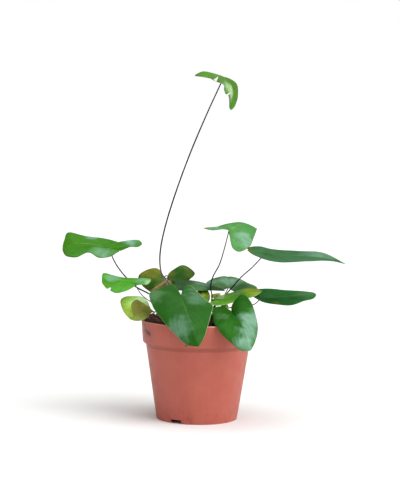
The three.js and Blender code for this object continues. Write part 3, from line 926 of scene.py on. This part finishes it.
leafSkin = {
    "shine": (0.8, 1.0, 0.86, 1),  # the wax on a leaf gives it a slightly green shine
    "cloudSize": 8,
    "cellSize": 0.9,
    "cells": (0.93, 1.06),
    "wobble": {"scale": 300.0, "amount": 0.0012},  # bends the net of veins
    "net": {"scale": 330.0, "wide": 0.09, "light": 1.22, "depth": 0.7},
    "roughSize": 3.5,
    "bump": 0.09,
}
underSkin = {
    "pale": "8fae6e",
    "gloss": 0.3,
    "roughness": 0.62,
    "cloudSize": 5,
    "clouds": (0.86, 1.12),
    "net": {"scale": 420.0, "low": 0.02, "high": 0.16},
    "scales": {"size": 1.1, "amount": 0.55, "colour": "8a6a44"},
    "bump": 0.16,
}


def veinNet(material, place, scale):
    fields = {"Vector": place, "Scale": scale}
    return addNode(material, "ShaderNodeTexVoronoi", fields, feature="DISTANCE_TO_EDGE").outputs[0]


def leafTop(name, roughness, gloss, mottling):
    k, net, wobble = leafSkin, leafSkin["net"], leafSkin["wobble"]
    material = startMaterial(name, {"Specular IOR Level": gloss, "Specular Tint": k["shine"]})
    place = objectPlace(material)
    cloud = grained(material, k["cloudSize"], 4, place, (1 - mottling, 1 + mottling))
    colour = multiplied(material, attribute(material, "tint"), cloud)
    colour = multiplied(material, colour, grained(material, k["cellSize"], 3, place, k["cells"]))
    # the net of veins is finer and fainter than the midrib
    fields = {"Vector": place, "Scale": wobble["scale"], "Detail": 2.0}
    bent = addNode(material, "ShaderNodeTexNoise", fields).outputs["Color"]
    for operation, other in (("MULTIPLY", (wobble["amount"],) * 3), ("ADD", place)):
        bent = addNode(material, "ShaderNodeVectorMath", {0: bent, 1: other}, operation=operation).outputs[0]
    vein = spread(material, veinNet(material, bent, net["scale"]), 0.0, net["wide"], 1.0, 0.0)
    colour = multiplied(material, colour, spread(material, vein, 0.0, 1.0, 1.0, net["light"]))
    rough = grained(material, k["roughSize"], 5, place, (roughness - 0.07, roughness + 0.1))
    sunken = calc(material, "MULTIPLY", vein, net["depth"])
    height = calc(material, "SUBTRACT", grain(material, 0.8, 3, place), sunken)
    return finishMaterial(material, colour, rough, height, k["bump"])


def leafUnder(name, netColour, netAmount, paleness):
    k, net, scales = underSkin, underSkin["net"], underSkin["scales"]
    material = startMaterial(name, {"Roughness": k["roughness"], "Specular IOR Level": k["gloss"]})
    place = objectPlace(material)
    colour = mixColour(material, paleness, attribute(material, "tint"), paint(k["pale"]))
    colour = multiplied(material, colour, grained(material, k["cloudSize"], 5, place, k["clouds"]))
    line = spread(material, veinNet(material, place, net["scale"]), net["low"], net["high"], 1.0, 0.0)
    line = calc(material, "MULTIPLY", line, netAmount)
    colour = mixColour(material, line, colour, paint(netColour))
    scaly = spread(material, grain(material, scales["size"], 2, place), 0.6, 0.68, 0.0, scales["amount"])
    colour = mixColour(material, scaly, colour, paint(scales["colour"]))
    height = calc(material, "ADD", grain(material, 0.9, 4, place), line)
    return finishMaterial(material, colour, None, height, k["bump"])


leafTops = {
    "leaf_deep": leafTop("deepLeaf", 0.4, 0.14, 0.12),
    "leaf_fresh": leafTop("freshLeaf", 0.4, 0.14, 0.1),
    "leaf_pale": leafTop("paleLeaf", 0.44, 0.12, 0.08),
    "leaf_olive": leafTop("oldLeaf", 0.5, 0.1, 0.16),
}
leafUnders = {
    "plain": leafUnder("leafUnderside", "b7c493", 0.25, 0.3),
    "thin": leafUnder("thinUnderside", "b0ab62", 0.15, 0.08),
}

tall = {
    "name": "tall",
    "slot": "leaf_fresh",
    "colour": "487422",
    "second": "568230",
    "patches": [(-0.7, 0.3, 12, "fresh", 0.6), (0.7, 0.6, 12, "pale", 0.6), (0, 1, 10, "fresh", 0.8),
                (-1, 0.3, 4, "brown", 0.9)],
    "rim": {"colour": "2f5a1c", "wide": 0.05, "leftSide": 0.6, "rightSide": 0.6},
    "thick": 0.8,
    "stalk": "141014",
    "stalkFoot": "8a7a84",
    "footFade": (140, 176),
    "stands": (-3, -2),
    "bends": [(-12, -3, 118), (-25, -5, 132), (-34, -6, 143), (-39.5, -4, 154), (-41.5, 0, 167),
              (-40.5, 2, 182), (-36, 4, 204), (-27, 5, 235), (-12, 4, 278), (5, 2, 320)],
    "midrib": [(20, 0, 354), (26, 8, 358), (32, 12, 350), (31, 6, 326)],
    "left": [(15, -3, 355), (4, -8, 360), (-7.5, -12, 360.5), (1, -4, 365.5), (15, 6, 362),
             (29, 16, 359.5), (37, 20, 354), (38, 18, 341), (36, 12, 333), (34, 9, 329)],
    "right": [(23, -6, 351), (23, -8, 347), (25, -8, 342), (28, -4, 340), (29, -1, 334),
              (29.2, 3, 328.5)],
    "tears": [[(16.9, 360.6), (12.4, 357.4), (14.8, 355.4)], [(30, 344), (23, 340.5), (24.5, 337.5)]],
}
arched = {
    "name": "arched",
    "slot": "leaf_fresh",
    "colour": "488640",
    "second": "528e4a",
    "patches": [(-0.7, 0.3, 12, "paintedSheen", 0.3), (0.7, 0.5, 14, "paintedSheen", 0.7), (-1, 0.3, 4, "olive", 0.9)],
    "rim": {"colour": "35602c", "wide": 0.04, "leftSide": 0.5, "rightSide": 0.35},
    "thick": 0.65,
    "stands": (13, -6),
    "bends": [(14, -6, 132), (12.5, -7, 139), (14.5, -6, 150), (21.5, -5, 164), (26.5, -4, 181)],
    "midrib": [(31, -4, 200), (41, 14, 204), (51, 26, 204), (62, 36, 200)],
    "left": [(26, -6, 202), (15, -10, 200), (4, -14, 202), (13, 2, 201), (26, 20, 204), (43, 34, 206)],
    "right": [(32, -12, 192), (35, -20, 182), (41, -20, 178.5), (52, -12, 183), (57, 6, 191)],
}
long = {
    "name": "long",
    "slot": "leaf_deep",
    "colour": "38683c",
    "second": "3f6e46",
    "patches": [(0.2, 0.3, 16, "deepGreenAndShade", 0.7), (-0.5, 0.8, 20, "paintedSheen", 0.4), (-0.9, 0.2, 7, "olive", 0.9),
                (0.9, 0.2, 6, "olive", 0.9)],
    "rim": {"colour": "1c3c14", "wide": 0.04, "leftSide": 0.25, "rightSide": 0.6},
    "thick": 0.68,
    "stands": (10, 12),
    "bends": [(20, 18, 119), (32, 19, 133), (46, 6, 151), (55, -2, 160)],
    "midrib": [(65, -12, 172), (93, -18, 174), (123, -25, 174), (151.5, -32, 168.5)],
    "left": [(59, -4, 177), (50.5, 4, 180.6), (63, 14, 182.3), (78, 16, 179), (105, 8, 178),
             (129, -8, 178)],
    "right": [(56, -24, 176), (49.5, -32, 181.5), (64, -48, 174), (82, -54, 171), (109, -50, 172),
              (135, -40, 172)],
}
lowRight = {
    "name": "low_right",
    "slot": "leaf_deep",
    "colour": "1d6822",
    "second": "28722e",
    "patches": [(0.3, 0.3, 7, "paintedHaze", 0.6), (0, 0.9, 14, "paintedHaze", 0.8), (0.9, 0.5, 4, "olive", 0.9)],
    "rim": {"colour": "0c440c", "wide": 0.05, "leftSide": 0.6, "rightSide": 0.6},
    "thick": 0.6,
    "stands": (16, 0),
    "bends": [(23, 3, 113), (33, 6, 117), (45, 6, 119), (59, 6, 121)],
    "midrib": [(66, 8, 127), (85, 10, 128), (106, 12, 130), (126, 14, 131)],
    "left": [(61, 18, 131), (61, 28, 134), (73, 36, 135), (95, 38, 133), (115, 30, 133),
             (124, 22, 132.5)],
    "right": [(60, 0, 129), (57, -8, 131), (67, -16, 126), (83, -20, 124), (97, -16, 123),
              (111, -6, 126.5), (122, 4, 128.5)],
}
back = {
    "name": "back",
    "slot": "leaf_deep",
    "colour": "4e7a48",
    "second": "44703e",
    "patches": [(0.1, 0.6, 15, "paintedSheen", 0.8), (-0.8, 0.5, 8, "paintedSheen", 0.6),
                (0.7, 0.3, 10, "deepGreenAndShade", 0.7)],
    "thick": 0.6,
    "stands": (4, 8),
    "bends": [(9, 14, 119), (26, 22, 127)],
    "midrib": [(32, 28, 136), (32, 46, 141), (32, 66, 144), (31, 82, 142)],
    "left": [(25, 24, 134), (15, 25, 135.5), (8, 38, 139), (13, 54, 142), (22, 70, 143)],
    "right": [(40, 24, 132), (54, 25, 133), (63, 34, 136), (54, 50, 139), (44, 68, 142)],
}
middle = {
    "name": "middle",
    "slot": "leaf_deep",
    "colour": "2b4c26",
    "second": "34562f",
    "patches": [(-0.2, 0.7, 12, "paintedSheen", 0.5), (0.7, 0.6, 12, "paintedHaze", 0.8), (0, 0.4, 8, "deepGreenAndShade", 0.7)],
    "thick": 0.6,
    "stands": (-2, 6),
    "bends": [(-8, 7, 122), (-17, 7, 134)],
    "midrib": [(-23, 6, 142), (-4, 6, 141), (13, 8, 138), (29, 12, 134)],
    "left": [(-27, 10, 143), (-29, 16, 144), (-18, 21, 144), (-2, 23, 142), (12, 20, 139),
             (22, 18, 136)],
    "right": [(-26, 0, 142), (-26, -8, 139.5), (-21.5, -11, 136.8), (-15, -13, 136.5), (0, -12, 136.3),
              (14, -3, 136)],
}
farLeft = {
    "name": "far_left",
    "slot": "leaf_fresh",
    "colour": "3c7d1a",
    "second": "468a2c",
    "stalk": "0c0a0c",
    "patches": [(0.7, 0.3, 9, "paintedSheen", 0.9), (-0.6, 0.4, 14, "paintedSheen", 0.5), (0.7, 0.7, 9, "paintedSheen", 0.7),
                (0, 0.9, 20, "fresh", 0.7), (0.3, 0.2, 9, "fresh", 0.6)],
    "rim": {"colour": "2c5418", "wide": 0.05, "leftSide": 0.75, "rightSide": 0.55},
    "thick": 0.8,
    "stands": (-14, 3),
    "bends": [(-30, 4, 117), (-52, 8, 130), (-68, 20, 137), (-78, 24, 146), (-85, 25, 154),
              (-91, 26, 163)],
    "midrib": [(-97, 28, 176), (-112, 36, 179), (-130, 42, 180), (-149, 48, 177)],
    "left": [(-90, 22, 176), (-85.5, 18, 174.2), (-88, 12, 173), (-93, 8, 170), (-106, 4, 168),
             (-118, 12, 173), (-130, 10, 168), (-141, 18, 168), (-147, 32, 172)],
    "right": [(-86, 27, 174.4), (-74, 26, 178.6), (-66, 27, 178.9), (-61.6, 29, 182.2),
              (-65.5, 31, 186), (-82, 44, 181.6), (-102, 56, 185), (-125, 64, 187), (-145, 66, 191),
              (-148, 56, 183)],
}
left = {
    "name": "left",
    "slot": "leaf_fresh",
    "colour": "459020",
    "second": "4f9a30",
    "patches": [(-0.7, 0.8, 12, "fresh", 0.8), (0.5, 0.3, 8, "paintedSheen", 0.5), (0.4, 0.8, 9, "paintedSheen", 0.5),
                (1, 0.2, 8, "pale", 0.6)],
    "rim": {"colour": "3c6c28", "wide": 0.04, "leftSide": 0.5, "rightSide": 0.4},
    "thick": 0.55,
    "stands": (-15, -5),
    "bends": [(-30, -4, 114), (-52, -2, 124), (-60, -1, 130)],
    "midrib": [(-67, 0, 140), (-79, 2, 144), (-92, 2, 144), (-102.4, -2, 144)],
    "left": [(-70, -10, 138), (-77, -16, 135), (-86, -18, 133), (-91.5, -16, 134.8),
             (-95.8, -14, 136.8), (-101.4, -8, 142)],
    "right": [(-60, -4, 141), (-54, -5, 141.5), (-50.5, 2, 146.5), (-65, 14, 145.5), (-80, 18, 145),
              (-93, 14, 149), (-101.8, 8, 151.3)],
    "tears": [[(-92.3, 138.6), (-98, 135.8), (-92.8, 134)]],
}
folded = {
    "name": "folded",
    "slot": "leaf_pale",
    "under": "thin",
    "colour": "94be4c",
    "second": "a2cc64",
    "patches": [(0.6, 0.4, 13, "pale", 0.8), (0.6, 0.8, 11, "yellow", 0.5),
                (-0.6, 0.6, 22, "olive", 1)],
    "rim": {"colour": "6a6424", "wide": 0.06, "leftSide": 0.7, "rightSide": 0.3},
    "thick": 0.55,
    "stands": (-14, -12),
    "bends": [(-25, -17, 112), (-38, -21, 114)],
    "midrib": [(-48, -24, 115), (-57, -30, 107), (-66, -30, 106), (-72, -26, 108)],
    "left": [(-45, -30, 114), (-50, -35, 119), (-57, -41, 125.5), (-64, -43, 129), (-68.5, -43, 125),
             (-68, -38, 116), (-66, -34, 110)],
    "right": [(-52, -16, 118), (-54, -10, 124), (-59, -5, 128), (-68, -2, 128.5), (-78, -4, 128),
              (-82, -8, 124.5), (-80, -14, 117), (-76, -20, 111)],
}
old = {
    "name": "old",
    "slot": "leaf_olive",
    "colour": "4e6a24",
    "second": "3f5c18",
    "patches": [(0.8, 0.4, 14, "olive", 0.8), (0.5, 0.6, 9, "deepGreenAndShade", 0.6), (-0.5, 0.4, 14, "deepGreenAndShade", 0.9),
                (-0.7, 0.2, 6, "olive", 0.4)],
    "rim": {"colour": "1c1a10", "wide": 0.06, "leftSide": 0.9, "rightSide": 0.85},
    "thick": 0.6,
    "stands": (-9, 12),
    "bends": [(-13, 18, 114), (-22, 28, 130), (-30, 28, 140)],
    "midrib": [(-34, 20, 143), (-32, 15, 136), (-31, 12, 130), (-30, 10, 125)],
    "left": [(-32, 28, 151), (-25, 35, 155.9), (-20, 38, 158.5), (-14.5, 40, 158.2), (-4.6, 38, 150.3),
             (-9, 32, 145), (-18, 23, 139), (-26, 14, 131)],
    "right": [(-38, 28, 147), (-45, 36, 155), (-55, 36, 154), (-65, 30, 147), (-61, 24, 138),
              (-51, 19, 131), (-40, 14, 127)],
}
front = {
    "name": "front",
    "slot": "leaf_deep",
    "colour": "1b5606",
    "second": "2c6020",
    "patches": [(0.8, 0.4, 14, "paintedHaze", 0.9), (0.6, 0.8, 16, "paintedSheen", 0.4), (-0.7, 0.4, 15, "paintedSheen", 0.3),
                (0, 0.6, 10, "deepGreenAndShade", 0.4)],
    "rim": {"colour": "a0c482", "wide": 0.03, "leftSide": 0.7, "rightSide": 0.25},
    "rib": {"colour": "5c8a48", "amount": 0.28},
    "thick": 0.6,
    "stands": (-6, -13),
    "bends": [(-9, -18, 119), (-14, -27, 128)],
    "midrib": [(-18, -32, 132), (-11, -54, 117), (-5, -72, 102), (1, -83, 87)],
    "left": [(-16, -26, 138), (-9, -18, 142), (-1, -25, 136), (9, -36, 128), (15, -42, 124),
             (13, -52, 116), (10, -62, 106), (6, -74, 95)],
    "right": [(-21, -26, 136), (-27, -16, 143), (-39, -15, 139), (-50.5, -21, 134.5), (-47, -40, 122),
              (-36, -54, 109), (-22, -67, 96), (-11, -76, 88)],
}
frontRight = {
    "name": "front_right",
    "slot": "leaf_deep",
    "colour": "1d5c06",
    "second": "2b6c12",
    "patches": [(0.5, 0.5, 9, "paintedHaze", 0.6), (0.3, 0.9, 12, "paintedSheen", 0.8), (-0.6, 0.6, 15, "paintedSheen", 0.9),
                (-0.5, 0.8, 13, "paintedSheen", 0.8), (-0.3, 0.1, 4, "brown", 0.8)],
    "rim": {"colour": "3c7038", "wide": 0.045, "leftSide": 0.7, "rightSide": 0.3},
    "rib": {"colour": "2c5c30", "amount": 0.7},
    "quilt": 2.5,
    "thick": 0.6,
    "stands": (8, -13),
    "bends": [(18, -19, 111), (29, -26, 114)],
    "midrib": [(35, -30, 116), (40, -48, 111), (46, -66, 101), (53, -82, 84)],
    "left": [(35, -28, 123), (39, -27, 130), (46, -27, 135), (54, -30, 128), (59, -38, 115),
             (61, -52, 103), (58, -68, 91)],
    "right": [(31, -27, 118), (24, -22, 121), (16, -24, 120), (16, -50, 108), (20, -62, 103),
              (24, -66, 98), (35, -74, 89), (45, -80, 83)],
}
slanted = {
    "name": "slanted",
    "slot": "leaf_pale",
    "colour": "5c9a22",
    "second": "6ba63c",
    "patches": [(-0.8, 0.4, 12, "pale", 1), (-0.6, 0.7, 10, "paintedSheen", 0.4),
                (0.1, 0.9, 16, "yellow", 0.9)],
    "rim": {"colour": "a8cc84", "wide": 0.06, "leftSide": 0.6, "rightSide": 0.7},
    "thick": 0.55,
    "stands": (7, -7),
    "bends": [(12, -11, 117)],
    "midrib": [(24, -8, 126), (36, -6, 129), (51, -6, 135), (67, -4, 136)],
    "left": [(19, 0, 126), (13, 6, 124), (22, 12, 128), (36, 14, 132), (49, 12, 137), (61, 6, 138)],
    "right": [(17, -12, 125), (12, -16, 124), (19, -22, 122), (30, -24, 124), (39, -24, 127),
              (52, -20, 130), (62, -12, 133)],
}
youngDark = {
    "name": "young_dark",
    "slot": "leaf_olive",
    "young": True,
    "colour": "5c7820",
    "second": "46581a",
    "patches": [(0.4, 0.6, 5, "yellow", 0.5), (0.9, 0.4, 4, "brown", 0.9), (0.3, 0.2, 4, "brown", 0.8)],
    "thick": 0.5,
    "stands": (2, 2),
    "bends": [(4, 2, 120)],
    "midrib": [(6, -2, 134), (8, -10, 130), (9, -18, 124)],
    "left": [(7, 1, 137), (9, 0, 136), (11.5, -5, 132), (11.5, -12, 127)],
    "right": [(4, 2, 137), (0, 0, 136), (-2, -6, 132), (3, -14, 127)],
}
youngPale = {
    "name": "young_pale",
    "slot": "leaf_pale",
    "young": True,
    "colour": "c8ee72",
    "second": "d2f28a",
    "thick": 0.45,
    "stands": (14, -12),
    "bends": [(20, -12, 114)],
    "midrib": [(27, -12, 122), (28, -16, 120), (29, -20, 117)],
    "left": [(29, -10, 123), (31, -12, 121), (31, -16, 119)],
    "right": [(25, -10, 123), (24, -12, 121), (25, -18, 118)],
}
youngBack = {
    "name": "young_back",
    "slot": "leaf_pale",
    "young": True,
    "colour": "eeff70",
    "second": "f2ff96",
    "thick": 0.45,
    "stands": (15, 6),
    "bends": [(17, 9, 119)],
    "midrib": [(18, 12, 127), (19, 16, 129), (20, 19, 130.5)],
    "left": [(14.5, 12, 126.5), (13.5, 16, 128.5), (17, 19, 130)],
    "right": [(20, 12, 126.5), (23.5, 15, 128.5), (23, 19, 130.5)],
}
fronds = [tall, arched, long, lowRight, back, middle, farLeft, left, folded, old, front, frontRight,
          slanted, youngDark, youngPale, youngBack]

for frond in fronds:
    growBlade(frond)
    growStalk(frond)
    print("grew the", frond["name"], "frond")


# Crown

crownForm = {
    "scales": 260,
    "scaleLengths": (1.8, 3.6),
    "scaleWidths": (0.25, 0.5),
    "steps": 64,
    "rings": 10,
    "colour": "4a3020",
    "tips": ("5e3f24", "94683c"),
}


def makeCrown():
    c, dice = crownForm, random.Random(5)
    top = soilSize["edge"] + soilSize["mound"]
    radius, rise = standing["crownRadius"] - 0.6, standing["crownRise"]
    profile = [(0, top - standing["crownDepth"], 0), (radius, top - standing["crownDepth"], 0.4)]
    for i in range(c["rings"]):
        turn = math.pi / 2 * i / c["rings"]
        profile.append((radius * math.cos(turn), top + rise * math.sin(turn), 0))
    profile.append((0, top + rise, 0))
    bm = lathed(profile, c["steps"])
    tint = newTint(bm)
    setTint(bm.verts, tint, paint(c["colour"]))
    for v in bm.verts:
        if v.co.z > top:
            v.co += v.co.normalized() * 0.5 * noise.noise(v.co / 2.5)
    low, high = [paint(t) for t in c["tips"]]
    for _ in range(c["scales"]):
        lift = math.asin(dice.random() ** 0.8)
        turn = dice.uniform(0, 2 * math.pi)
        flat = Vector((math.cos(turn), math.sin(turn), 0))
        place = flat * radius * math.cos(lift) + Vector((0, 0, top + rise * math.sin(lift)))
        out = (flat * math.cos(lift) / radius + Vector((0, 0, math.sin(lift) / rise))).normalized()
        ahead = Vector((dice.uniform(-0.5, 0.5), dice.uniform(-0.5, 0.5), 1)) + out * 0.5
        colour = low.lerp(high, dice.random())
        sizes = dice.uniform(*c["scaleLengths"]), dice.uniform(*c["scaleWidths"])
        addScale(bm, tint, colour, place, ahead, out, *sizes)
    crown = finishPiece(bm, "scaly_crown", "crown", "crown", [fuzz])
    smoothShade(crown, 50)


def fuzzMaterial():
    material = startMaterial("dryScales", {"Specular IOR Level": 0.35})
    place = objectPlace(material)
    streak = grained(material, 0.8, 4, place, (0.7, 1.3), 0.3)
    colour = multiplied(material, attribute(material, "tint"), streak)
    rough = grained(material, 2, 3, place, (0.6, 0.85))
    return finishMaterial(material, colour, rough, grain(material, 0.5, 4, place), 0.15)


fuzz = fuzzMaterial()
makeCrown()
print("crown is made")


# The coiled frond and the withered one

crozier = {
    "stands": (-6, 2),
    "bends": [(-14, 4, 120), (-26, 5, 134), (-31, 6, 142)],
    "thick": 0.65,
    "coil": {"middle": (-34.5, 6, 148.3), "outer": 2.3, "inner": 0.75, "turns": 1, "bends": 9},
    "colour": "4a2a24",
    "second": "6a4a34",
    "scales": 90,
    "scaleColours": ("5a3428", "8a6a4c"),
    "scaleLengths": (0.9, 1.7),
    "scaleWidths": (0.12, 0.24),
}
withered = {
    "stands": (-12, -1),
    "bends": [(-19, 0, 122), (-29, 2, 140), (-33, 2, 144), (-37, 0, 142.2), (-44, -2, 137.3),
              (-51, -2, 133.7)],
    "thick": 2.2,
    "flat": 0.6,
    "sides": 20,
    "colour": "a08a52",
    "dark": "74603a",
}


def makeCrozier():
    c, dice = crozier, random.Random(21)
    points = [*standPoints(c["stands"]), *c["bends"]]
    x, y, z = c["coil"]["middle"]
    for i in range(c["coil"]["bends"] + 1):
        share = i / c["coil"]["bends"]
        turn = 2 * math.pi * c["coil"]["turns"] * share
        reach = blend(c["coil"]["outer"], c["coil"]["inner"], share)
        points.append((x + reach * math.cos(turn), y, z + reach * math.sin(turn)))
    path = Path(points, 600)
    bm = sweep(path, 0.6, lambda share: blend(1, 0.75, smooth(share, 0.7, 1)), c["thick"], 5)
    tint = newTint(bm)
    for v in bm.verts:
        v[tint] = (*paint(c["colour"]).lerp(paint(c["second"]), mottle(v.co, 3)), 1)
    dull, bright = [paint(text) for text in c["scaleColours"]]
    for _ in range(c["scales"]):
        share = blend(0.25, 0.98, dice.random() ** 0.6)
        place, ahead = path.at(share), (path.at(share + 0.01) - path.at(share - 0.01)).normalized()
        out = Vector([dice.uniform(-1, 1) for _ in range(3)])
        out = (out - ahead * out.dot(ahead)).normalized()
        colour = dull.lerp(bright, dice.random())
        lean = ahead + out * dice.uniform(0.2, 0.7)
        sizes = dice.uniform(*c["scaleLengths"]), dice.uniform(*c["scaleWidths"])
        addScale(bm, tint, colour, place + out * c["thick"] * 0.8, lean, out, *sizes)
    piece = finishPiece(bm, "coiled_frond", "crozier", "young_stipe", [fuzz])
    smoothShade(piece, 60)


def makeWithered():
    w = withered
    path = Path([*standPoints(w["stands"]), *w["bends"]], 400)
    oval = bpy.data.curves.new("oval", "CURVE")
    oval.dimensions = "2D"
    rim = oval.splines.new("POLY")
    rim.points.add(w["sides"] - 1)
    rim.use_cyclic_u = True
    for i, dot in enumerate(rim.points):
        turn = 2 * math.pi * i / w["sides"]
        crease = 1 - 0.25 * math.exp(-(math.cos(turn) / 0.35) ** 2)
        dot.co = (w["thick"] * math.cos(turn), w["thick"] * w["flat"] * crease * math.sin(turn), 0, 1)
    section = bpy.data.objects.new("oval", oval)
    scene.collection.objects.link(section)

    def radiusAt(share):
        thin = blend(0.55, 1, smooth(share, 0.35, 0.6)) * blend(1, 0.6, smooth(share, 0.93, 1))
        return thin * (1 + 0.12 * noise.noise(Vector((share * 14, 3, 0))))

    bm = sweep(path, 0.8, radiusAt, w["thick"], 4, section)
    bpy.data.objects.remove(section)
    tint = newTint(bm)
    for v in bm.verts:
        v[tint] = (*paint(w["dark"]).lerp(paint(w["colour"]), smooth(mottle(v.co, 4), 0.25, 0.65)), 1)
    piece = finishPiece(bm, "withered_strip", "withered_frond", "withered", [fuzz])
    smoothShade(piece, 60)


makeCrozier()
makeWithered()
print("coiled and withered fronds are made")
